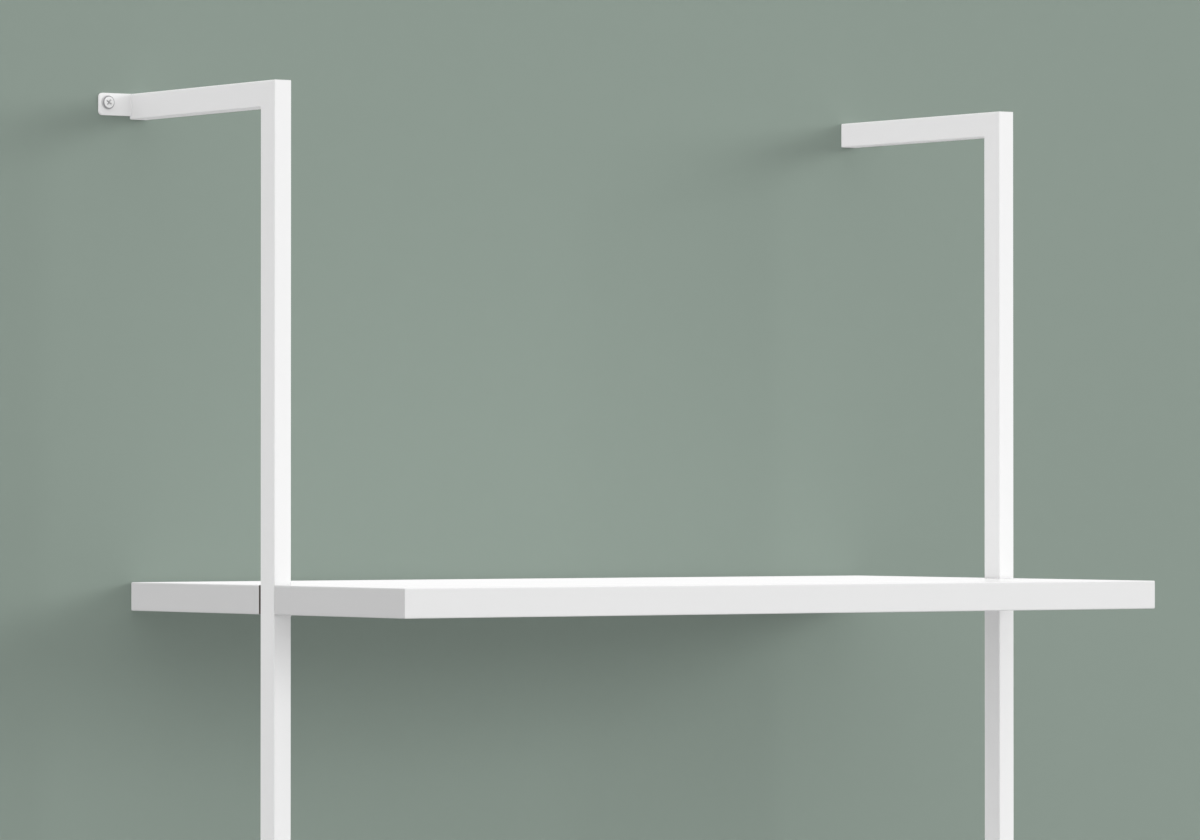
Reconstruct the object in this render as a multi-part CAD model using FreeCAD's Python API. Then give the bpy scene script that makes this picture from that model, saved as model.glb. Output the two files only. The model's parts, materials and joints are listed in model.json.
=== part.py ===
import FreeCAD, Part
import math
import os

# Ladder bookcase. Two mitred tube side frames stand on levelling feet, return to a wall at the top
# and carry notched shelf boards on welded brackets that lie flush in the boards' undersides.
# Millimetres. X runs across the shelves, +Y towards the wall, +Z up.
# The origin is on the floor, at the middle of the bounding box.

# Shelf boards
SHELF_WIDTH = 610.0
SHELF_DEPTH = 335.0
SHELF_THICKNESS = 19.0
SHELF_EDGE_R = 0.8
SHELF_COUNT = 5
SHELF_PITCH = 345.0
LOWEST_SHELF_TOP = 145.0

# Tube of the side frames
TUBE_WIDTH = 13.0
TUBE_DEPTH = 17.0
TUBE_WALL = 1.2
TUBE_CORNER_R = 0.8
POST_SETBACK = 154.0  # shelf's front edge to the front of the post
TOP_RISE = 327.0  # top of the frame above the top shelf
WALL_GAP = 2.0  # shelf's back edge to the wall

# Notch in each end of a board, in which the post stands flush
NOTCH_FRONT_GAP = 0.3
NOTCH_REAR_GAP = 1.6
NOTCH_INNER_GAP = 0.5

# Brackets welded to the posts, let into the undersides of the boards
BRACKET_LENGTH = 32.0
BRACKET_WIDTH = 60.0
BRACKET_THICKNESS = 3.0
BRACKET_CORNER_R = 5.0
POCKET_GAP = 0.5
BRACKET_SCREW_REACH = 19.0  # post to the screws' centres
BRACKET_SCREW_SPACING = 40.0

# Countersunk machine screws in threaded inserts, which hold the boards on the brackets
SHELF_SCREW_R = 2.5
SHELF_SCREW_LENGTH = 12.0
SHELF_SCREW_HEAD_R = 4.4
SHELF_SCREW_HOLE_GAP = 0.25
SHELF_SCREW_KEY = 3.0  # across the flats of the hexagon socket
SHELF_SCREW_KEY_DEPTH = 1.8
INSERT_R = 4.0
INSERT_LENGTH = 11.0
INSERT_GAP = 0.05
THREAD_GAP = 0.05

# Joint halfway up each post: an inner sleeve, one button-head screw above and one below the seam
POST_JOINT_BAY = 3  # counted from the lowest space between two boards
SLEEVE_LENGTH = 80.0
SLEEVE_WALL = 2.0
SLEEVE_GAP = 0.1
SEAM_EASE = 0.4  # bevel around the two tube ends that meet
JOINT_SCREW_OFFSET = 20.0
JOINT_SCREW_R = 2.5
JOINT_SCREW_LENGTH = 6.0
JOINT_SCREW_HEAD_R = 4.5
JOINT_SCREW_HEAD_HEIGHT = 2.4
JOINT_SCREW_HEAD_ROUND = 1.6
JOINT_SCREW_HOLE_GAP = 0.25
JOINT_SCREW_KEY = 3.0
JOINT_SCREW_KEY_DEPTH = 1.5

# Tab welded to the outer side of the arm's end, flush with its top, which takes the wall screw
TAB_THICKNESS = 2.0
TAB_REACH = 24.5  # beyond the outer face of the arm
TAB_HEIGHT = 14.8
TAB_CORNER_R = 2.6
TAB_SCREW_INSET = 6.3  # outer end and top of the tab to the screw's centre

# Wall screw with a low round head
WALL_SCREW_R = 2.5
WALL_SCREW_NECK_R = 2.2
WALL_SCREW_HOLE_GAP = 0.5
WALL_SCREW_EMBED = 43.0  # thread and point behind the wall's face
WALL_SCREW_POINT = 6.0
WALL_SCREW_HEAD_R = 4.6
WALL_SCREW_HEAD_HEIGHT = 1.8
WALL_SCREW_HEAD_ROUND = 1.2
WALL_SCREW_CROSS_LENGTH = 4.6
WALL_SCREW_CROSS_WIDTH = 1.1
WALL_SCREW_CROSS_DEPTH = 1.4
WALL_SCREW_CROSS_TURN = 35.0  # degrees, where the screw stops when it is tight

# Levelling foot: a base that stays still on the floor, and a threaded stem that turns in it
FOOT_R = 10.0
FOOT_RIM_HEIGHT = 2.5
FOOT_RIM_ROUND = 1.0
FOOT_HUB_R = 6.0
FOOT_HEIGHT = 7.0
FOOT_SOCKET_FLOOR = 1.8
STEM_PIN_R = 2.5
STEM_PIN_GAP = 0.1
STEM_BEAD_R = 3.1
STEM_BEAD_HEIGHT = 1.4
STEM_BEAD_RISE = 1.0  # bottom of the pin to the bead
STEM_BEAD_GAP = 0.2
STEM_NUT_FLATS = 10.0
STEM_NUT_HEIGHT = 5.0
STEM_NUT_BEVEL = 30.0  # degrees
STEM_R = 3.0
STEM_LENGTH = 30.0
STEM_END_CHAMFER = 0.6
STEM_OUT = 10.0  # thread showing between nut and post as it stands
STEM_GAP = 0.1
PLUG_FLANGE = 2.0
PLUG_LENGTH = 25.0

# How far cuts run past the surfaces that they open, and how near edges are told apart by their places
PAST = 1.0
NEAR = 0.05

# Places worked out from the sizes above
SHELF_TOPS = [LOWEST_SHELF_TOP + SHELF_PITCH * i for i in range(SHELF_COUNT)]
FRAME_TOP = SHELF_TOPS[-1] + TOP_RISE
SHELF_FRONT = -(SHELF_DEPTH + WALL_GAP + WALL_SCREW_EMBED) / 2
SHELF_BACK = SHELF_FRONT + SHELF_DEPTH
WALL = SHELF_BACK + WALL_GAP
POST_FRONT = SHELF_FRONT + POST_SETBACK
POST_REAR = POST_FRONT + TUBE_DEPTH
POST_MIDDLE = (POST_FRONT + POST_REAR) / 2
POST_OUTER = SHELF_WIDTH / 2
POST_INNER = POST_OUTER - TUBE_WIDTH
POST_CENTRE = (POST_OUTER + POST_INNER) / 2
TAB_FRONT = WALL - TAB_THICKNESS
NUT_TOP = FOOT_HEIGHT + STEM_NUT_HEIGHT
PLUG_BOTTOM = NUT_TOP + STEM_OUT
POST_BOTTOM = PLUG_BOTTOM + PLUG_FLANGE
POST_SEAM = (SHELF_TOPS[POST_JOINT_BAY - 1] + SHELF_TOPS[POST_JOINT_BAY] - SHELF_THICKNESS) / 2
SCREW_X = POST_OUTER + TAB_REACH - TAB_SCREW_INSET
SCREW_Z = FRAME_TOP - TAB_SCREW_INSET

SIDES = {"left": -1, "right": 1}
AXES = {"x": FreeCAD.Vector(1, 0, 0), "y": FreeCAD.Vector(0, 1, 0), "z": FreeCAD.Vector(0, 0, 1)}
ORIGIN = FreeCAD.Vector(0, 0, 0)


def block(x, y, z):
    """A box between two places on each axis, given in either order."""
    lows = [min(pair) for pair in (x, y, z)]
    spans = [abs(pair[1] - pair[0]) for pair in (x, y, z)]
    return Part.makeBox(*spans, FreeCAD.Vector(*lows))


def edges_along(shape, axis):
    """The straight edges of a shape that run along one axis."""
    widths = [name + "Length" for name in "XYZ" if name != axis.upper()]
    return [e for e in shape.Edges if max(getattr(e.BoundBox, width) for width in widths) < NEAR]


def edges_at(shape, z):
    """The edges of a shape that lie at one height."""
    return [e for e in shape.Edges if max(abs(e.BoundBox.ZMin - z), abs(e.BoundBox.ZMax - z)) < NEAR]


def rounded_bar(x, y, z, axis):
    """The outside of the frame's tube: a box with rounded edges along one axis."""
    outside = block(x, y, z)
    return outside.makeFillet(TUBE_CORNER_R, edges_along(outside, axis))


def tube_bore(x, y, z, axis, wall):
    """The hollow of a tube that fills a box, running past the tube's ends."""
    ranges = {"x": sorted(x), "y": sorted(y), "z": sorted(z)}
    for name, (low, high) in ranges.items():
        inset = -PAST if name == axis else wall
        ranges[name] = (low + inset, high - inset)
    return block(*ranges.values())


def prism_across(points, x):
    """A prism across X, from an outline of (y, z) points."""
    corners = [FreeCAD.Vector(min(x), *point) for point in points]
    face = Part.Face(Part.makePolygon(corners + corners[:1]))
    return face.extrude(AXES["x"] * abs(x[1] - x[0]))


def turned(points):
    """A solid turned about Z, from an outline of (radius, height) points."""
    corners = [FreeCAD.Vector(radius, 0, height) for radius, height in points]
    face = Part.Face(Part.makePolygon(corners + corners[:1]))
    return face.revolve(ORIGIN, AXES["z"], 360)


def rod(radius, low, high):
    """A round bar on the Z axis."""
    return Part.makeCylinder(radius, high - low, FreeCAD.Vector(0, 0, low))


def hexagon_bar(flats, low, high):
    """A hexagonal bar on the Z axis, from its size across the flats."""
    corner_r = flats / math.sqrt(3)
    angles = [math.radians(60 * i) for i in range(6)]
    corners = [FreeCAD.Vector(corner_r * math.cos(a), corner_r * math.sin(a), low) for a in angles]
    face = Part.Face(Part.makePolygon(corners + corners[:1]))
    return face.extrude(AXES["z"] * (high - low))


def placed(shape, x, y, z, turn=0):
    """A copy turned about X by some degrees and then moved."""
    copy = shape.copy()
    copy.rotate(ORIGIN, AXES["x"], turn)
    copy.translate(FreeCAD.Vector(x, y, z))
    return copy


def post_x(side):
    """Outer and inner faces of a post."""
    return side * POST_OUTER, side * POST_INNER


def mitre_half(side, behind):
    """Half of the space around the top corner, in front of or behind its mitre plane."""
    top = FRAME_TOP + PAST
    low = FRAME_TOP - TUBE_DEPTH - PAST
    front = POST_FRONT - PAST
    rear = POST_REAR + PAST
    third = (rear, top) if behind else (front, low)
    outer, inner = post_x(side)
    across = (outer + side * PAST, inner - side * PAST)
    return prism_across([(front, top), (rear, low), third], across)


def joint_screw_places():
    """Heights of the two screws of a post joint."""
    return POST_SEAM - JOINT_SCREW_OFFSET, POST_SEAM + JOINT_SCREW_OFFSET


def joint_screw_holes(side, radius):
    """Bars through the rear wall of a post, for the holes of its joint screws."""
    reach = TUBE_DEPTH / 2
    bar = rod(radius, 0, reach + PAST)
    return [placed(bar, side * POST_CENTRE, POST_REAR - reach, z, -90) for z in joint_screw_places()]


def post_length(side, z):
    """A length of post with the screw holes of its joint, bevelled at the end that meets the seam."""
    ranges = (post_x(side), (POST_FRONT, POST_REAR), z)
    outside = rounded_bar(*ranges, "z")
    outside = outside.makeChamfer(SEAM_EASE, edges_at(outside, POST_SEAM))
    holes = joint_screw_holes(side, JOINT_SCREW_R + JOINT_SCREW_HOLE_GAP)
    return outside.cut([tube_bore(*ranges, "z", TUBE_WALL)] + holes)


def upper_post(side):
    return post_length(side, (POST_SEAM, FRAME_TOP)).cut(mitre_half(side, True))


def lower_post(side):
    return post_length(side, (POST_BOTTOM, POST_SEAM))


def wall_arm(side):
    ranges = (post_x(side), (POST_FRONT, WALL), (FRAME_TOP - TUBE_DEPTH, FRAME_TOP))
    return rounded_bar(*ranges, "y").cut([tube_bore(*ranges, "y", TUBE_WALL), mitre_half(side, False)])


def wall_tab(side):
    outer = side * (POST_OUTER + TAB_REACH)
    plate = block((outer, side * POST_OUTER), (TAB_FRONT, WALL), (FRAME_TOP - TAB_HEIGHT, FRAME_TOP))
    corners = [e for e in edges_along(plate, "y") if abs(e.CenterOfMass.x - outer) < NEAR]
    plate = plate.makeFillet(TAB_CORNER_R, corners)
    hole = rod(WALL_SCREW_NECK_R + WALL_SCREW_HOLE_GAP, -PAST, TAB_THICKNESS + PAST)
    return plate.cut(placed(hole, side * SCREW_X, TAB_FRONT, SCREW_Z, -90))


def post_sleeve(side):
    inset = TUBE_WALL + SLEEVE_GAP
    outer, inner = post_x(side)
    half = SLEEVE_LENGTH / 2
    ranges = ((outer - side * inset, inner + side * inset), (POST_FRONT + inset, POST_REAR - inset),
              (POST_SEAM - half, POST_SEAM + half))
    holes = joint_screw_holes(side, JOINT_SCREW_R + THREAD_GAP)
    return block(*ranges).cut([tube_bore(*ranges, "z", SLEEVE_WALL)] + holes)


def foot_plug(side):
    inset = TUBE_WALL + SLEEVE_GAP
    outer, inner = post_x(side)
    flange = rounded_bar((outer, inner), (POST_FRONT, POST_REAR), (PLUG_BOTTOM, POST_BOTTOM), "z")
    body = block((outer - side * inset, inner + side * inset), (POST_FRONT + inset, POST_REAR - inset),
                 (PLUG_BOTTOM, POST_BOTTOM + PLUG_LENGTH))
    bore = rod(STEM_R + STEM_GAP, PLUG_BOTTOM - PAST, POST_BOTTOM + PLUG_LENGTH + PAST)
    return flange.fuse(body).removeSplitter().cut(placed(bore, side * POST_CENTRE, POST_MIDDLE, 0))


def foot_stem(side):
    pin_low = FOOT_SOCKET_FLOOR + STEM_BEAD_GAP
    bead_low = pin_low + STEM_BEAD_RISE
    stem_top = NUT_TOP + STEM_LENGTH
    pin = rod(STEM_PIN_R, pin_low, FOOT_HEIGHT)
    bead = rod(STEM_BEAD_R, bead_low, bead_low + STEM_BEAD_HEIGHT)
    flat_r = STEM_NUT_FLATS / 2
    corner_r = STEM_NUT_FLATS / math.sqrt(3)
    bevel = (corner_r - flat_r) * math.tan(math.radians(STEM_NUT_BEVEL))
    bevels = turned([(0, FOOT_HEIGHT), (flat_r, FOOT_HEIGHT), (corner_r, FOOT_HEIGHT + bevel),
                     (corner_r, NUT_TOP - bevel), (flat_r, NUT_TOP), (0, NUT_TOP)])
    nut = hexagon_bar(STEM_NUT_FLATS, FOOT_HEIGHT, NUT_TOP).common(bevels)
    thread = turned([(0, NUT_TOP), (STEM_R, NUT_TOP), (STEM_R, stem_top - STEM_END_CHAMFER),
                     (STEM_R - STEM_END_CHAMFER, stem_top), (0, stem_top)])
    whole = pin.fuse([bead, nut, thread]).removeSplitter()
    return placed(whole, side * POST_CENTRE, POST_MIDDLE, 0)


def foot_base(side):
    pin_low = FOOT_SOCKET_FLOOR + STEM_BEAD_GAP
    groove_low = pin_low + STEM_BEAD_RISE - STEM_BEAD_GAP
    groove_high = pin_low + STEM_BEAD_RISE + STEM_BEAD_HEIGHT + STEM_BEAD_GAP
    disc = turned([(0, 0), (FOOT_R, 0), (FOOT_R, FOOT_RIM_HEIGHT), (FOOT_HUB_R, FOOT_HEIGHT),
                   (0, FOOT_HEIGHT)])
    disc = disc.makeFillet(FOOT_RIM_ROUND, edges_at(disc, FOOT_RIM_HEIGHT))
    socket = rod(STEM_PIN_R + STEM_PIN_GAP, FOOT_SOCKET_FLOOR, FOOT_HEIGHT + PAST)
    groove = rod(STEM_BEAD_R + STEM_BEAD_GAP, groove_low, groove_high)
    return placed(disc.cut([socket, groove]), side * POST_CENTRE, POST_MIDDLE, 0)


def bracket_plate(side, bottom, gap):
    """Plate of a shelf bracket, grown sideways by a gap when it stands for the bracket's pocket."""
    inner = side * POST_INNER
    end = side * (POST_INNER - BRACKET_LENGTH - gap)
    half = BRACKET_WIDTH / 2 + gap
    plate = block((inner, end), (POST_MIDDLE - half, POST_MIDDLE + half),
                  (bottom, bottom + BRACKET_THICKNESS))
    corners = [e for e in edges_along(plate, "z") if abs(e.CenterOfMass.x - end) < NEAR]
    return plate.makeFillet(BRACKET_CORNER_R + gap, corners)


def bracket_screw_places(side):
    """Centres of the two screws of a shelf bracket, as (x, y)."""
    x = side * (POST_INNER - BRACKET_SCREW_REACH)
    half = BRACKET_SCREW_SPACING / 2
    return [(x, POST_MIDDLE - half), (x, POST_MIDDLE + half)]


def countersunk(shank_r, head_r, length):
    """A countersunk screw's outside, its head's flat face down at height 0."""
    cone = head_r - shank_r
    return turned([(0, 0), (head_r, 0), (shank_r, cone), (shank_r, length), (0, length)])


def shelf_bracket(side, bottom):
    gap = SHELF_SCREW_HOLE_GAP
    hole = countersunk(SHELF_SCREW_R + gap, SHELF_SCREW_HEAD_R + gap, BRACKET_THICKNESS + PAST)
    holes = [placed(hole, x, y, bottom) for x, y in bracket_screw_places(side)]
    return bracket_plate(side, bottom, 0).cut(holes)


def shelf(bottom):
    board = block((-POST_OUTER, POST_OUTER), (SHELF_FRONT, SHELF_BACK), (bottom, bottom + SHELF_THICKNESS))
    board = board.makeFillet(SHELF_EDGE_R, board.Edges)
    cuts = []
    for side in SIDES.values():
        notch_x = (side * (POST_OUTER + PAST), side * (POST_INNER - NOTCH_INNER_GAP))
        notch_y = (POST_FRONT - NOTCH_FRONT_GAP, POST_REAR + NOTCH_REAR_GAP)
        cuts.append(block(notch_x, notch_y, (bottom - PAST, bottom + SHELF_THICKNESS + PAST)))
        cuts.append(bracket_plate(side, bottom, POCKET_GAP))
        hole = rod(INSERT_R + INSERT_GAP, 0, BRACKET_THICKNESS + INSERT_LENGTH)
        cuts += [placed(hole, x, y, bottom) for x, y in bracket_screw_places(side)]
    return board.cut(cuts)


def shelf_fasteners(bottom):
    """Inserts and screws of one board."""
    low = BRACKET_THICKNESS
    insert = rod(INSERT_R, low, low + INSERT_LENGTH)
    insert = insert.cut(rod(SHELF_SCREW_R + THREAD_GAP, low - PAST, low + INSERT_LENGTH + PAST))
    screw = countersunk(SHELF_SCREW_R, SHELF_SCREW_HEAD_R, SHELF_SCREW_LENGTH)
    screw = screw.cut(hexagon_bar(SHELF_SCREW_KEY, -PAST, SHELF_SCREW_KEY_DEPTH))
    places = [place for side in SIDES.values() for place in bracket_screw_places(side)]
    inserts = [placed(insert, x, y, bottom) for x, y in places]
    screws = [placed(screw, x, y, bottom) for x, y in places]
    return inserts, screws


def rounded_head(radius, height, rounding):
    """A screw's head above its seat at height 0, towards -Z, with its outer rim rounded."""
    head = rod(radius, -height, 0)
    return head.makeFillet(rounding, edges_at(head, -height))


def joint_screws():
    head = rounded_head(JOINT_SCREW_HEAD_R, JOINT_SCREW_HEAD_HEIGHT, JOINT_SCREW_HEAD_ROUND)
    screw = head.fuse(rod(JOINT_SCREW_R, 0, JOINT_SCREW_LENGTH))
    top = -JOINT_SCREW_HEAD_HEIGHT
    screw = screw.cut(hexagon_bar(JOINT_SCREW_KEY, top - PAST, top + JOINT_SCREW_KEY_DEPTH))
    return [placed(screw, side * POST_CENTRE, POST_REAR, z, 90)
            for side in SIDES.values() for z in joint_screw_places()]


def wall_screws():
    head = rounded_head(WALL_SCREW_HEAD_R, WALL_SCREW_HEAD_HEIGHT, WALL_SCREW_HEAD_ROUND)
    tip = TAB_THICKNESS + WALL_SCREW_EMBED
    shank = turned([(0, 0), (WALL_SCREW_NECK_R, 0), (WALL_SCREW_NECK_R, TAB_THICKNESS),
                    (WALL_SCREW_R, TAB_THICKNESS), (WALL_SCREW_R, tip - WALL_SCREW_POINT), (0, tip)])
    top = -WALL_SCREW_HEAD_HEIGHT
    long = (-WALL_SCREW_CROSS_LENGTH / 2, WALL_SCREW_CROSS_LENGTH / 2)
    short = (-WALL_SCREW_CROSS_WIDTH / 2, WALL_SCREW_CROSS_WIDTH / 2)
    deep = (top - PAST, top + WALL_SCREW_CROSS_DEPTH)
    cross = block(long, short, deep).fuse(block(short, long, deep))
    cross.rotate(ORIGIN, AXES["z"], WALL_SCREW_CROSS_TURN)
    screw = head.fuse(shank).cut(cross)
    return [placed(screw, side * SCREW_X, TAB_FRONT, SCREW_Z, -90) for side in SIDES.values()]


def build():
    """Every piece of the bookcase, by name."""
    pieces = {}
    for name, side in SIDES.items():
        pieces[name + "_upper_post"] = upper_post(side)
        pieces[name + "_wall_arm"] = wall_arm(side)
        pieces[name + "_wall_tab"] = wall_tab(side)
        pieces[name + "_lower_post"] = lower_post(side)
        pieces[name + "_post_sleeve"] = post_sleeve(side)
        pieces[name + "_foot_plug"] = foot_plug(side)
        pieces[name + "_foot_stem"] = foot_stem(side)
        pieces[name + "_foot_base"] = foot_base(side)
    inserts = []
    screws = []
    for number, top in enumerate(SHELF_TOPS, 1):
        bottom = top - SHELF_THICKNESS
        pieces[f"shelf_{number}"] = shelf(bottom)
        for name, side in SIDES.items():
            pieces[f"{name}_shelf_bracket_{number}"] = shelf_bracket(side, bottom)
        more_inserts, more_screws = shelf_fasteners(bottom)
        inserts += more_inserts
        screws += more_screws
    pieces["shelf_inserts"] = Part.makeCompound(inserts)
    pieces["shelf_screws"] = Part.makeCompound(screws)
    pieces["post_joint_screws"] = Part.makeCompound(joint_screws())
    pieces["wall_screws"] = Part.makeCompound(wall_screws())
    return pieces


os.makedirs("parts", exist_ok=True)
for node, shape in build().items():
    shape.exportStep(f"parts/{node}.step")
    print(node, len(shape.Solids), "solids", round(shape.Volume), "mm3", shape.isValid())
print("wall plane at y", WALL, "wall screws at x, z", SCREW_X, SCREW_Z)
print("shelf tops", SHELF_TOPS, "shelf front and back", SHELF_FRONT, SHELF_BACK)
print("posts from x", POST_INNER, "to", POST_OUTER, "and from y", POST_FRONT, "to", POST_REAR)
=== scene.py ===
import json
import math

import bpy
import numpy as np
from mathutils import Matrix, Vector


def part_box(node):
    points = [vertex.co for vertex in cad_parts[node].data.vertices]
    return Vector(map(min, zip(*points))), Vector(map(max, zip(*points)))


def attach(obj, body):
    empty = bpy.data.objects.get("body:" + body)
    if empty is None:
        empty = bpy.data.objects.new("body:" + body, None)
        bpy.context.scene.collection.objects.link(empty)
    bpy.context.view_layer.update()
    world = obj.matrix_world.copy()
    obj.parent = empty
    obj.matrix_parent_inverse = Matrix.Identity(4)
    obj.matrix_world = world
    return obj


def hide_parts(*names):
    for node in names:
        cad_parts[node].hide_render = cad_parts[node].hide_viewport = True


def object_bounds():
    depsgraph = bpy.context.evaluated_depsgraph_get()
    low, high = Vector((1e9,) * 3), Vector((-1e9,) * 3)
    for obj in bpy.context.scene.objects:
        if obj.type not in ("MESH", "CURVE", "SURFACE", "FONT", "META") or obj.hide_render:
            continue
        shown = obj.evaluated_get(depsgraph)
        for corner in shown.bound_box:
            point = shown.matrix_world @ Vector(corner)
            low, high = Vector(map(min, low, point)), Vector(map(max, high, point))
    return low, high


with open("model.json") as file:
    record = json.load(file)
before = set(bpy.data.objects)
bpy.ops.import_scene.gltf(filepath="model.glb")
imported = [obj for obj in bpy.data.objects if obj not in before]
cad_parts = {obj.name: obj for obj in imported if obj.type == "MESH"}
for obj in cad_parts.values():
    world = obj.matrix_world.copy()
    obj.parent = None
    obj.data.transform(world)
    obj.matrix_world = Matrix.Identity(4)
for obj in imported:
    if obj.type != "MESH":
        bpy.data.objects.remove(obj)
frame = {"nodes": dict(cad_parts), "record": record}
cad_box = [list(corner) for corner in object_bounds()]

# Side frames
# Two posts and two wall arms of rectangular steel tube, mitred at the top corner, welded and ground flush.
# White powder melted onto the steel leaves a satin skin with a fine orange peel.

POWDER_WHITES = ((0.86, 0.86, 0.86, 1), (0.88, 0.88, 0.88, 1))
POWDER_ROUGHNESS = (0.36, 0.48)
POWDER_CLOUDS = 0.2
POWDER_GRAIN = 0.0004
POWDER_GRAIN_SHARE = 0.5
PEEL_SIZE = 0.0013
PEEL_DEPTH = 0.000012
PEEL_GRAIN = 0.25  # height of the grain as a share of the peel's


class Flow:
    """A node's output in a node tree. Sums with numbers and other flows add Math nodes to that tree."""

    def __init__(self, tree, socket=None):
        self.tree = tree
        self.socket = socket

    def node(self, kind, settings, sockets, out=0):
        """Adds a node with its settings, then numbers or flows in its sockets, and gives one output."""
        node = self.tree.nodes.new("ShaderNode" + kind)
        for name, value in settings.items():
            setattr(node, name, value)
        for name, value in sockets.items():
            if isinstance(value, Flow):
                self.tree.links.new(value.socket, node.inputs[name])
            else:
                node.inputs[name].default_value = value
        return Flow(self.tree, node.outputs[out])

    def maths(self, operation, *terms):
        return self.node("Math", {"operation": operation}, dict(enumerate(terms)))

    def __add__(self, other):
        return self.maths("ADD", self, other)

    def __sub__(self, other):
        return self.maths("SUBTRACT", self, other)

    def __rsub__(self, other):
        return self.maths("SUBTRACT", other, self)

    def __mul__(self, other):
        return self.maths("MULTIPLY", self, other)

    def __abs__(self):
        return self.maths("ABSOLUTE", self)

    __radd__ = __add__
    __rmul__ = __mul__

    def least(self, other):
        return self.maths("MINIMUM", self, other)

    def rises(self, low, high):
        """0 below low and 1 above high, with a smooth step between."""
        return self.node("MapRange", {"interpolation_type": "SMOOTHSTEP"},
                         {"Value": self, "From Min": low, "From Max": high})

    def spans(self, low, high):
        """Low where the flow is 0 and high where it is 1, in a straight line."""
        return low + (high - low) * self

    def mixed(self, other, share):
        """The flow with a share of another in place of as much of itself."""
        return (1 - share) * self + share * other

    def specks(self, size, detail=2):
        """Noise from 0 to 1 over a flow of places, about one swell in each size."""
        return self.node("TexNoise", {}, {"Vector": self, "Scale": 1 / size, "Detail": detail})

    def between(self, first, second):
        """The first colour where the flow is 0, the second where it is 1."""
        return self.node("Mix", {"data_type": "RGBA"}, {0: self, 6: first, 7: second}, out=2)

    def relief(self, depth):
        """The normal of a surface that a flow of heights from 0 to 1 raises by up to a depth."""
        return self.node("Bump", {}, {"Height": self, "Distance": depth, "Strength": 1})

    def feeds(self, shader, socket):
        self.tree.links.new(self.socket, shader.inputs[socket])


def new_finish(name, even):
    """A material with its even values set on its shader, that shader, and a flow of Object coordinates."""
    material = bpy.data.materials.new(name)
    material.use_nodes = True
    shader = material.node_tree.nodes["Principled BSDF"]
    for socket, value in even.items():
        shader.inputs[socket].default_value = value
    return material, shader, Flow(material.node_tree).node("TexCoord", {}, {}, out="Object")


def coat(slot, material):
    """Gives a finish to every piece that the record puts in a slot."""
    for piece in frame["record"]["subparts"]:
        if piece["material_slot"] == slot:
            frame["nodes"][piece["node"]].material_slots[0].material = material


powder_coat, shader, place = new_finish("white_powder_coat", {"IOR": 1.5})
powder_grain = place.specks(POWDER_GRAIN)
powder_tone = place.specks(POWDER_CLOUDS).mixed(powder_grain, POWDER_GRAIN_SHARE)
powder_tone.between(*POWDER_WHITES).feeds(shader, "Base Color")
powder_grain.spans(*POWDER_ROUGHNESS).feeds(shader, "Roughness")
(place.specks(PEEL_SIZE, detail=1) + PEEL_GRAIN * powder_grain).relief(PEEL_DEPTH).feeds(shader, "Normal")
coat("powder_coat", powder_coat)

# Welds
# A short fillet of weld metal joins each wall tab to its arm, and each shelf bracket to its post.
# They were run by hand, so they ripple, and the powder coat covers them.

SIDES = {"left": -1, "right": 1}
SHELF_COUNT = 5
TAB_WELD_LEG = 0.0009
BRACKET_WELD_LEG = 0.0022
WELD_INSET = 0.0012  # from each end of the corner to the weld
WELD_RIPPLE = 0.0014
WELD_RIPPLE_SHARE = 0.07
WELD_END_POWER = 6
WELD_SINK = 0.0001
WELD_STEPS = 90
WELD_ARC = 14
SHARP_ANGLE = math.radians(35)


def skin(rings, start, end):
    """Closed skin over rows of rings: a quad between neighbours on two rings, and a fan of triangles from
    the first and the last ring to a point. Where each ring runs anticlockwise about the way they follow,
    faces point out."""
    rows, around, _ = rings.shape
    points = np.concatenate([rings.reshape(-1, 3), [start, end]])
    number = np.arange(rows * around).reshape(rows, around)
    beside = np.roll(number, -1, axis=1)
    quads = np.stack([number[:-1], beside[:-1], beside[1:], number[1:]], axis=-1).reshape(-1, 4)
    first = np.full(around, rows * around)
    fans = np.concatenate([np.stack([beside[0], number[0], first], axis=-1),
                           np.stack([number[-1], beside[-1], first + 1], axis=-1)])
    return points, quads.tolist() + fans.tolist()


def add_piece(name, skins, finish, slot, body, *replaced):
    """One mesh object of some skins, which rides on a body and stands for replaced pieces of the frame."""
    points = np.concatenate([skin_points for skin_points, _ in skins])
    starts = np.cumsum([0] + [len(skin_points) for skin_points, _ in skins])
    faces = [[start + corner for corner in face] for start, (_, some) in zip(starts, skins) for face in some]
    mesh = bpy.data.meshes.new(name)
    mesh.from_pydata(points.tolist(), [], faces)
    mesh.shade_smooth()
    mesh.set_sharp_from_angle(angle=SHARP_ANGLE)
    mesh.materials.append(finish)
    piece = bpy.data.objects.new(name, mesh)
    bpy.context.scene.collection.objects.link(piece)
    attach(piece, body)
    if replaced:
        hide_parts(*replaced)
    return piece


def fillet_weld(middle, first, second, length, leg):
    """Bead in a square corner: a quarter circle from the first way to the second, closed behind the corner,
    carried along their cross product. Its leg ripples as a cosine of the place along it, and falls off at
    the ends as a squared-off ellipse."""
    first, second = np.array(first, float), np.array(second, float)
    along = np.cross(first, second)
    share = np.linspace(-1, 1, WELD_STEPS + 2)[1:-1]
    ripple = 1 + WELD_RIPPLE_SHARE * np.cos(math.pi * share * length / WELD_RIPPLE)
    size = leg * ripple * np.sqrt(1 - share ** WELD_END_POWER)
    angles = np.linspace(0, math.pi / 2, WELD_ARC)
    arc = np.cos(angles)[:, None] * first + np.sin(angles)[:, None] * second
    front = size[:, None, None] * arc
    behind = np.broadcast_to(-WELD_SINK * (first + second), (WELD_STEPS, 1, 3))
    across = np.concatenate([front, behind], axis=1)
    rings = np.array(middle) + across + (share * length / 2)[:, None, None] * along
    ends = [np.array(middle) + end * length / 2 * along for end in (-1, 1)]
    return skin(rings, *ends)


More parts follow.
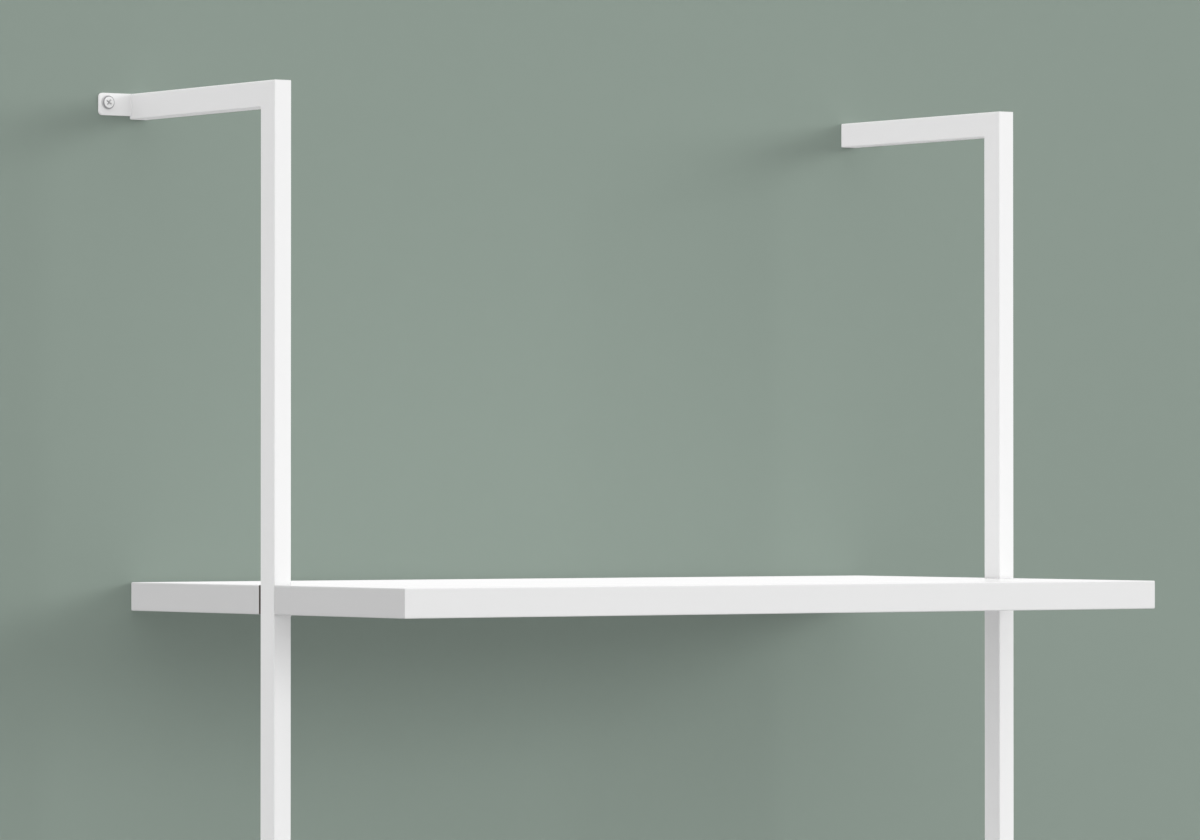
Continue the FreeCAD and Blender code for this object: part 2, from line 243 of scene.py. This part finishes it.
for side, outwards in SIDES.items():
    arm_low, arm_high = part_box(side + "_wall_arm")
    tab_low, tab_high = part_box(side + "_wall_tab")
    arm_outer = arm_low.x if outwards < 0 else arm_high.x
    corner = (arm_outer, tab_low.y, (tab_low.z + tab_high.z) / 2)
    length = tab_high.z - tab_low.z - 2 * WELD_INSET
    bead = fillet_weld(corner, (outwards, 0, 0), (0, -1, 0), length, TAB_WELD_LEG)
    add_piece(side + "_tab_weld", [bead], powder_coat, "powder_coat", "bookcase")
    post_low, post_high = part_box(side + "_lower_post")
    post_inner = post_high.x if outwards < 0 else post_low.x
    length = post_high.y - post_low.y - 2 * WELD_INSET
    for number in range(1, SHELF_COUNT + 1):
        bracket_low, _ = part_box(f"{side}_shelf_bracket_{number}")
        corner = (post_inner, (post_low.y + post_high.y) / 2, bracket_low.z)
        bead = fillet_weld(corner, (-outwards, 0, 0), (0, 0, -1), length, BRACKET_WELD_LEG)
        add_piece(f"{side}_bracket_weld_{number}", [bead], powder_coat, "powder_coat", "bookcase")

# Wall screws
# A steel screw with a low round head and a cross recess holds each tab to the wall. The head is painted
# white, worn through at its shoulder and down the recess. Its coarse bare thread bites in a wall plug.

SCREW_PAINT = (0.86, 0.86, 0.86, 1)
SCREW_BARE = (0.36, 0.36, 0.37, 1)
SCREW_BARE_METAL = 0.8
SCREW_ROUGHNESS = (0.34, 0.50)
SCREW_SCUFF = 0.0006
SCREW_SCUFF_SHARE = 0.3
SCREW_WEAR_EDGE = (0.35, 0.8)
SCREW_WORN_RIM = 0.82  # share of the head's radius at which the paint ends
SCREW_PAINTED_SIDE = 0.0009  # height above the tab to which the head's side keeps its paint
SCREW_WORN_RECESS = 0.5
SCREW_HEAD_ROUND = 0.0012
SCREW_CROSS_LENGTH = 0.0046
SCREW_CROSS_WIDTH = 0.0011
SCREW_CROSS_DEPTH = 0.0014
SCREW_CROSS_TURN = math.radians(35)
SCREW_CROSS_TAPER = 0.0003
SCREW_NECK_R = 0.0022
SCREW_THREAD_R = 0.0025
SCREW_ROOT_R = 0.0018
SCREW_PITCH = 0.0022
SCREW_RIDGE = 0.4  # share of the pitch
SCREW_POINT = 0.006
SCREW_POINT_POWER = 0.8
SCREW_AROUND = 72
SCREW_FACE_ROWS = 30
SCREW_RIM_ROWS = 9
SCREW_STEPS = 14  # rows of points in a turn of the thread


def turned(radius, height, around):
    """Rings about the Z axis from rows of radii and heights, each one number or one for each angle."""
    rows = len(radius)
    angles = np.arange(around) * 2 * math.pi / around
    radius = np.stack([np.broadcast_to(row, around) for row in radius])
    height = np.stack([np.broadcast_to(row, around) for row in height])
    rings = np.stack([radius * np.cos(angles), radius * np.sin(angles), height], axis=-1)
    return rings.reshape(rows, around, 3)


def thread(heights, pitch, width, around):
    """Height of a thread from 0 to 1: a ridge with straight sides, a share of the pitch wide, that climbs by
    one pitch in each turn. Rows are places along the axis, columns are angles about it."""
    turns = heights[:, None] / pitch - np.arange(around) / around
    return np.clip(1 - 2 * np.abs(turns % 1 - 0.5) / width, 0, 1)


def cross_recess(x, y):
    """Depth from 0 to 1 of a turned cross: the less of the places' distances outside two bars, ramped down
    to a floor."""
    half_length, half_width = SCREW_CROSS_LENGTH / 2, SCREW_CROSS_WIDTH / 2
    across = x * math.cos(SCREW_CROSS_TURN) + y * math.sin(SCREW_CROSS_TURN)
    up = y * math.cos(SCREW_CROSS_TURN) - x * math.sin(SCREW_CROSS_TURN)
    bars = [np.maximum(abs(a) - half_length, abs(b) - half_width) for a, b in ((across, up), (up, across))]
    return np.clip(-np.minimum(*bars) / SCREW_CROSS_TAPER, 0, 1)


def wall_screw(head_r, head_height, neck_end, tip):
    """A screw along +Z with its head's seat at height 0: a flat top with a cross in it, a rounded rim, a
    neck, and a thread that fades in after the neck and out along the point."""
    top_r = head_r - SCREW_HEAD_ROUND
    angles = np.arange(SCREW_AROUND) * 2 * math.pi / SCREW_AROUND
    face_r = np.linspace(0, top_r, SCREW_FACE_ROWS)[1:, None]
    recess = SCREW_CROSS_DEPTH * cross_recess(face_r * np.cos(angles), face_r * np.sin(angles))
    round_angles = np.linspace(0, math.pi / 2, SCREW_RIM_ROWS)[1:]
    rim_r = top_r + SCREW_HEAD_ROUND * np.sin(round_angles)
    rim_z = SCREW_HEAD_ROUND * (1 - np.cos(round_angles)) - head_height
    steps = round((tip - neck_end) / SCREW_PITCH * SCREW_STEPS)
    shank_z = np.linspace(neck_end, tip, steps, endpoint=False)
    point = np.clip((tip - shank_z) / SCREW_POINT, 0, 1) ** SCREW_POINT_POWER
    fade = np.clip((shank_z - neck_end) / SCREW_PITCH, 0, 1) * point
    ridges = thread(shank_z, SCREW_PITCH, SCREW_RIDGE, SCREW_AROUND)
    shank_r = (SCREW_ROOT_R * point)[:, None] + (SCREW_THREAD_R - SCREW_ROOT_R) * fade[:, None] * ridges
    radius = [*face_r, *rim_r, head_r, SCREW_NECK_R, SCREW_NECK_R, *shank_r]
    height = [*(recess - head_height), *rim_z, 0, 0, neck_end - SCREW_PITCH / SCREW_STEPS, *shank_z]
    rings = turned(radius, height, SCREW_AROUND)
    return skin(rings, (0, 0, SCREW_CROSS_DEPTH - head_height), (0, 0, tip))


screws_low, screws_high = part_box("wall_screws")
tab_low, tab_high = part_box("left_wall_tab")
seat = tab_low.y
screw_head_r = (screws_high.z - screws_low.z) / 2
screw_head_height = seat - screws_low.y
screw_points, screw_faces = wall_screw(screw_head_r, screw_head_height, tab_high.y - seat,
                                       screws_high.y - seat)
facing_front = np.stack([screw_points[:, 0], screw_points[:, 2], -screw_points[:, 1]], axis=-1)
screw_middle = (screws_low.z + screws_high.z) / 2
screw_pair = [(facing_front + (x, seat, screw_middle), screw_faces)
              for x in (screws_low.x + screw_head_r, screws_high.x - screw_head_r)]

screw_paint, shader, place = new_finish("white_screw_paint", {"IOR": 1.5})
bare = place.node("Attribute", {"attribute_name": "bare"}, {}, out="Fac")
scuffs = place.specks(SCREW_SCUFF)
worn = (bare + SCREW_SCUFF_SHARE * scuffs).rises(*SCREW_WEAR_EDGE)
worn.between(SCREW_PAINT, SCREW_BARE).feeds(shader, "Base Color")
(SCREW_BARE_METAL * worn).feeds(shader, "Metallic")
scuffs.spans(*SCREW_ROUGHNESS).feeds(shader, "Roughness")
scuffs.relief(PEEL_DEPTH).feeds(shader, "Normal")
wall_screws = add_piece("threaded_wall_screws", screw_pair, screw_paint, "painted_screw", "bookcase",
                        "wall_screws")
from_axis = np.hypot(screw_points[:, 0], screw_points[:, 1])
above_tab = -screw_points[:, 2]
sunk = np.clip((screw_head_height - above_tab) / SCREW_CROSS_DEPTH, 0, 1)
recess_wear = SCREW_WORN_RECESS * sunk * (from_axis < SCREW_CROSS_LENGTH / 2)
shoulder = (from_axis > SCREW_WORN_RIM * screw_head_r) & (above_tab > SCREW_PAINTED_SIDE)
bareness = np.maximum(recess_wear, shoulder | (above_tab <= 0))
bare_values = wall_screws.data.attributes.new("bare", "FLOAT", "POINT").data
bare_values.foreach_set("value", np.tile(bareness, len(screw_pair)))

# Shelf boards
# Five wood boards faced with white laminate, with a thin band glued on along the front and back edges,
# and a darker white on both end faces, which is painted shade. Each end is notched for its post, and the
# notch is left raw, its core coloured near black: the raw core darkened with painted shade of the gap.

BOARD_WHITES = ((0.84, 0.84, 0.84, 1), (0.86, 0.86, 0.86, 1))
BAND_WHITE = (0.773, 0.773, 0.773, 1)
# a darker white for both end faces of each board: painted shade
END_SHADE_WHITE = (0.648, 0.648, 0.648, 1)
# near-black core inside the notch: the raw core's colour darkened as painted shade of the gap
RAW_CORE_AND_SHADE = (0.12, 0.105, 0.09, 1)
BAND_SEAM = (0.45, 0.44, 0.42, 1)
BAND_SEAM_SHARE = 0.5
BAND_SEAM_WIDTH = 0.0001
BAND_THICKNESS = 0.0008
BAND_ROUGHER = 0.2
END_SHADE_DEPTH = 0.0004
BOARD_ROUGHNESS = (0.18, 0.24)
BOARD_CLOUDS = 0.12
BOARD_PEARL = 0.0009
BOARD_PEARL_SHARE = 0.4
BOARD_PEARL_DEPTH = 0.000006
NOTCH_ROOM = (0.00034, 0.00164, 0.00054)  # in front of the post, behind it and beside it
NOTCH_EDGE = 0.00004

board_low, board_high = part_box("shelf_5")
post_low, post_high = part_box("right_upper_post")
laminate, shader, place = new_finish("white_board_laminate", {"IOR": 1.5})
x, y = (place.node("SeparateXYZ", {}, {0: place}, out=axis) for axis in "XY")
end_gap = board_high.x - abs(x)
edge_gap = end_gap.least((y - board_low.y).least(board_high.y - y))
banded = 1 - edge_gap.rises(BAND_THICKNESS, BAND_THICKNESS + BAND_SEAM_WIDTH)
# mask of the end faces, which take the painted shade
shaded_end = 1 - end_gap.rises(END_SHADE_DEPTH, END_SHADE_DEPTH + BAND_SEAM_WIDTH)
seam = 1 - abs(edge_gap - BAND_THICKNESS).rises(0, BAND_SEAM_WIDTH)
pearl = place.specks(BOARD_PEARL)
board_white = place.specks(BOARD_CLOUDS).mixed(pearl, BOARD_PEARL_SHARE).between(*BOARD_WHITES)
edge_white = shaded_end.between(banded.between(board_white, BAND_WHITE), END_SHADE_WHITE)
seamed_white = (BAND_SEAM_SHARE * seam).between(edge_white, BAND_SEAM)
room_ahead, room_behind = y - post_low.y + NOTCH_ROOM[0], post_high.y - y + NOTCH_ROOM[1]
notch_depth = room_ahead.least(room_behind).least(abs(x) - post_low.x + NOTCH_ROOM[2])
# the notch takes the near-black core colour, which is partly painted shade
notch_depth.rises(0, NOTCH_EDGE).between(seamed_white, RAW_CORE_AND_SHADE).feeds(shader, "Base Color")
(pearl.spans(*BOARD_ROUGHNESS) + BAND_ROUGHER * banded).feeds(shader, "Roughness")
pearl.relief(BOARD_PEARL_DEPTH).feeds(shader, "Normal")
coat("white_laminate", laminate)

# Inserts, bracket screws, joint screws and sleeves
# Bright zinc on steel: threaded inserts in the boards, countersunk screws up through the brackets, the
# sleeve inside each post joint, and the button-head screws that hold it.

ZINC_GREYS = ((0.60, 0.61, 0.62, 1), (0.70, 0.71, 0.72, 1))
ZINC_ROUGHNESS = (0.26, 0.38)
ZINC_SPANGLE = 0.0011
ZINC_SPANGLE_ROUGHER = 0.06
ZINC_GRAIN = 0.0002
ZINC_GRAIN_SHARE = 0.4
ZINC_DEPTH = 0.000004

zinc, shader, place = new_finish("bright_zinc", {"Metallic": 1})
zinc_grain = place.specks(ZINC_GRAIN)
spangle = place.node("TexVoronoi", {}, {"Vector": place, "Scale": 1 / ZINC_SPANGLE}, out="Color")
cells = place.node("SeparateColor", {}, {0: spangle})
cells.mixed(zinc_grain, ZINC_GRAIN_SHARE).between(*ZINC_GREYS).feeds(shader, "Base Color")
(zinc_grain.spans(*ZINC_ROUGHNESS) + ZINC_SPANGLE_ROUGHER * cells).feeds(shader, "Roughness")
zinc_grain.relief(ZINC_DEPTH).feeds(shader, "Normal")
coat("zinc_steel", zinc)

# Levelling stems
# A zinc-plated bolt turns in each post's plug: a hexagon for the spanner, a metric thread above it, and a
# pin with a bead below it that snaps into the foot's base.

STEM_NUT_HEIGHT = 0.0049
STEM_NUT_BEVEL = math.radians(30)
STEM_NUT_FACE = 0.95  # radius inside the bevel as a share of half the size across the flats
STEM_THREAD_R = 0.003
STEM_ROOT_R = 0.0024
STEM_PITCH = 0.001
STEM_PIN_R = 0.0025
STEM_BEAD_R = 0.0031
STEM_BEAD = (0.001, 0.0024)  # bottom of the pin to the bead's two edges
STEM_BEVEL = 0.0003
STEM_AROUND = 48
STEM_STEPS = 12  # rows of points in a turn of the thread


def levelling_stem(flats, bottom, nut_low, top):
    """Pin, bead, hexagon and thread on the Z axis. The hexagon's radius is half its flats over the cosine of
    the angle from the middle of a flat. A cone cuts its corners, so the bevel's height follows that
    radius."""
    angles = np.arange(STEM_AROUND) * 2 * math.pi / STEM_AROUND
    flat_r = flats / 2
    hexagon = flat_r / np.cos(angles % (math.pi / 3) - math.pi / 6)
    face_r = STEM_NUT_FACE * flat_r
    bevel = (hexagon - face_r) * math.tan(STEM_NUT_BEVEL)
    nut_top = nut_low + STEM_NUT_HEIGHT
    thread_top = top - (STEM_THREAD_R - STEM_ROOT_R)
    steps = round((thread_top - nut_top) / STEM_PITCH * STEM_STEPS)
    thread_z = np.linspace(nut_top, thread_top, steps)
    fade = np.clip((thread_z - nut_top) / STEM_PITCH, 0, 1)[:, None]
    ridges = fade * thread(thread_z, STEM_PITCH, 1, STEM_AROUND)
    thread_r = STEM_ROOT_R + (STEM_THREAD_R - STEM_ROOT_R) * ridges
    bead_low, bead_high = (bottom + rise for rise in STEM_BEAD)
    pin_r = [STEM_PIN_R - STEM_BEVEL, STEM_PIN_R, STEM_PIN_R, STEM_BEAD_R, STEM_BEAD_R, STEM_PIN_R,
             STEM_PIN_R]
    pin_z = [bottom, bottom + STEM_BEVEL, bead_low, bead_low + STEM_BEVEL, bead_high - STEM_BEVEL, bead_high,
             nut_low]
    nut_r = [face_r, hexagon, hexagon, face_r]
    nut_z = [nut_low, nut_low + bevel, nut_top - bevel, nut_top]
    rings = turned([*pin_r, *nut_r, *thread_r, STEM_ROOT_R - STEM_BEVEL],
                   [*pin_z, *nut_z, *thread_z, top], STEM_AROUND)
    return skin(rings, (0, 0, bottom), (0, 0, top))


for side in SIDES:
    stem_low, stem_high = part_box(side + "_foot_stem")
    nut_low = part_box(side + "_foot_base")[1].z
    points, faces = levelling_stem(stem_high.y - stem_low.y, stem_low.z, nut_low, stem_high.z)
    axis = ((stem_low.x + stem_high.x) / 2, (stem_low.y + stem_high.y) / 2, 0)
    add_piece(side + "_threaded_stem", [(points + axis, faces)], zinc, "zinc_steel", side + "_stem",
              side + "_foot_stem")

# Foot bases and post plugs
# Moulded off-white nylon. The plug is pressed into the post's open end and holds the stem's thread. The
# base stays still on the floor while the stem turns in its socket.

NYLON_WHITES = ((0.74, 0.74, 0.72, 1), (0.79, 0.79, 0.77, 1))
NYLON_ROUGHNESS = (0.44, 0.60)
NYLON_MOTTLE = 0.004
NYLON_SPARK = 0.0003
NYLON_SPARK_SHARE = 0.3
NYLON_SPARK_DEPTH = 0.000008
BASE_SOLE_ROUND = 0.0006
BASE_RIM_HEIGHT = 0.0025
BASE_RIM_ROUND = 0.0011
BASE_HUB_R = 0.006
BASE_HUB_ROUND = 0.0007
BASE_SOCKET_R = 0.0026
BASE_SOCKET_FLOOR = 0.0018
BASE_SOCKET_ROUND = 0.0003
BASE_AROUND = 96
BASE_ARC = 8

nylon, shader, place = new_finish("off_white_nylon", {"IOR": 1.53})
spark = place.specks(NYLON_SPARK)
place.specks(NYLON_MOTTLE).mixed(spark, NYLON_SPARK_SHARE).between(*NYLON_WHITES).feeds(shader, "Base Color")
spark.spans(*NYLON_ROUGHNESS).feeds(shader, "Roughness")
spark.relief(NYLON_SPARK_DEPTH).feeds(shader, "Normal")
coat("foot_nylon", nylon)


def rounded(corners):
    """An outline of (radius, height, rounding) corners with each one rounded but the two ends: a quadratic
    curve that leaves and meets the two sides at the rounding's distance from the corner."""
    outline = []
    share = np.linspace(0, 1, BASE_ARC)[:, None]
    for before, corner, after in zip(corners[:-2], corners[1:-1], corners[2:]):
        middle = np.array(corner[:2])
        ways = [np.array(other[:2]) - middle for other in (before, after)]
        start, end = (middle + corner[2] * way / np.linalg.norm(way) for way in ways)
        outline.append((1 - share) ** 2 * start + 2 * share * (1 - share) * middle + share ** 2 * end)
    return np.concatenate(outline)


for side in SIDES:
    base_low, base_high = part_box(side + "_foot_base")
    base_r = (base_high.x - base_low.x) / 2
    base_top = base_high.z - base_low.z
    outline = rounded([(0, 0, 0), (base_r, 0, BASE_SOLE_ROUND), (base_r, BASE_RIM_HEIGHT, BASE_RIM_ROUND),
                       (BASE_HUB_R, base_top, BASE_HUB_ROUND), (BASE_SOCKET_R, base_top, BASE_SOCKET_ROUND),
                       (BASE_SOCKET_R, BASE_SOCKET_FLOOR, BASE_SOCKET_ROUND), (0, BASE_SOCKET_FLOOR, 0)])
    rings = turned(outline[:, 0], outline[:, 1], BASE_AROUND)
    points, faces = skin(rings, (0, 0, 0), (0, 0, BASE_SOCKET_FLOOR))
    axis = ((base_low.x + base_high.x) / 2, (base_low.y + base_high.y) / 2, base_low.z)
    add_piece(side + "_moulded_base", [(points + axis, faces)], nylon, "foot_nylon", side + "_base",
              side + "_foot_base")

# Floor and backdrop
# A plain pale floor that lets light through to a sole that rests on it, and a plain backdrop where the
# wall would be, shown only to the camera. From behind, both are clear, for views of back and underside.

FLOOR_COLOUR = (0.5, 0.5, 0.5, 1)
BACKDROP_COLOUR = (0.245, 0.298, 0.261, 1)
STAGE_EVEN = {"Roughness": 0.9, "Specular IOR Level": 0.1}
STAGE_REACH = 40
STAGE_CONTACT = 0.001
BACKDROP_GAP = 0.0002


def add_stage(name, corners, colour, shown_to):
    """A flat stage that shows its front, where its corners run anticlockwise, to rays whose light path output
    rises past the contact distance."""
    material, shader, place = new_finish(name, {"Base Color": colour, **STAGE_EVEN})
    front = 1 - place.node("NewGeometry", {}, {}, out="Backfacing")
    met = place.node("LightPath", {}, {}, out=shown_to).rises(STAGE_CONTACT, 2 * STAGE_CONTACT)
    clear = place.node("BsdfTransparent", {}, {})
    solid = Flow(material.node_tree, shader.outputs[0])
    shown = place.node("MixShader", {}, {0: front * met, 1: clear, 2: solid})
    shown.feeds(material.node_tree.nodes["Material Output"], "Surface")
    mesh = bpy.data.meshes.new(name)
    mesh.from_pydata(corners, [], [range(len(corners))])
    mesh.materials.append(material)
    sheet = bpy.data.objects.new(name, mesh)
    bpy.context.scene.collection.objects.link(sheet)


floor_level = cad_box[0][2]
wall_plane = tab_high.y + BACKDROP_GAP
add_stage("floor", [(-STAGE_REACH, -STAGE_REACH, floor_level), (STAGE_REACH, -STAGE_REACH, floor_level),
                    (STAGE_REACH, STAGE_REACH, floor_level), (-STAGE_REACH, STAGE_REACH, floor_level)],
          FLOOR_COLOUR, "Ray Length")
add_stage("backdrop", [(-STAGE_REACH, wall_plane, floor_level), (STAGE_REACH, wall_plane, floor_level),
                       (STAGE_REACH, wall_plane, STAGE_REACH), (-STAGE_REACH, wall_plane, STAGE_REACH)],
          BACKDROP_COLOUR, "Is Camera Ray")

# Studio light
# Soft white light from all round, a wide softbox at the front right for the fronts of posts and boards,
# and a weak one above for the shelf tops. Neither softbox is mirrored, so that glossy tops don't glare.

SKY_STRENGTH = 1.0
LAMP_AIM = np.array((0.0, 0.0, 1.6))
LAMPS = (  # watts, metres across and high, place
    ("key_softbox", 555, 8.0, 3.0, (8.3, -10.6, 3.9)),
    ("top_softbox", 24, 4.0, 4.0, (0.0, -0.3, 7.0)))

scene = bpy.context.scene
scene.view_settings.view_transform = "Standard"
world = bpy.data.worlds.new("studio")
world.use_nodes = True
sky = Flow(world.node_tree)
light = sky.node("Background", {}, {"Color": (1, 1, 1, 1), "Strength": SKY_STRENGTH})
backing = sky.node("Background", {}, {"Color": BACKDROP_COLOUR, "Strength": 1})
seen = sky.node("LightPath", {}, {}, out="Is Camera Ray")
studio = sky.node("MixShader", {}, {0: seen, 1: light, 2: backing})
studio.feeds(world.node_tree.nodes["World Output"], "Surface")
scene.world = world

for name, watts, across, high, lamp_place in LAMPS:
    lamp = bpy.data.objects.new(name, bpy.data.lights.new(name, "AREA"))
    lamp.data.energy = watts
    lamp.data.shape = "RECTANGLE"
    lamp.data.size = across
    lamp.data.size_y = high
    lamp.location = lamp_place
    aim = LAMP_AIM - lamp_place
    lamp.rotation_euler = (math.atan2(math.hypot(aim[0], aim[1]), -aim[2]), 0, math.atan2(-aim[0], aim[1]))
    lamp.visible_camera = False
    lamp.visible_glossy = False
    scene.collection.objects.link(lamp)

# Camera
# It stands far back at the left, a little above the top shelf, with a long lens. It is tipped up so far
# that the horizon falls where the photograph has it.

PHOTO_WIDTH = 1200
PHOTO_HEIGHT = 840
HORIZON = 493.9  # pixels below the top of the photograph
FOCAL_LENGTH = 6315.0  # pixels
CAMERA_TURN = math.radians(34.862)
CAMERA_PLACE = (-2.4638, -3.5031, 1.5841)
CLIP_END = 200

camera = bpy.data.objects.new("camera", bpy.data.cameras.new("camera"))
camera.data.lens = FOCAL_LENGTH / PHOTO_WIDTH * camera.data.sensor_width
camera.data.clip_end = CLIP_END
camera.location = CAMERA_PLACE
camera_tip = math.atan((HORIZON - PHOTO_HEIGHT / 2) / FOCAL_LENGTH)
camera.rotation_euler = (math.pi / 2 + camera_tip, 0, -CAMERA_TURN)
scene.collection.objects.link(camera)
scene.camera = camera
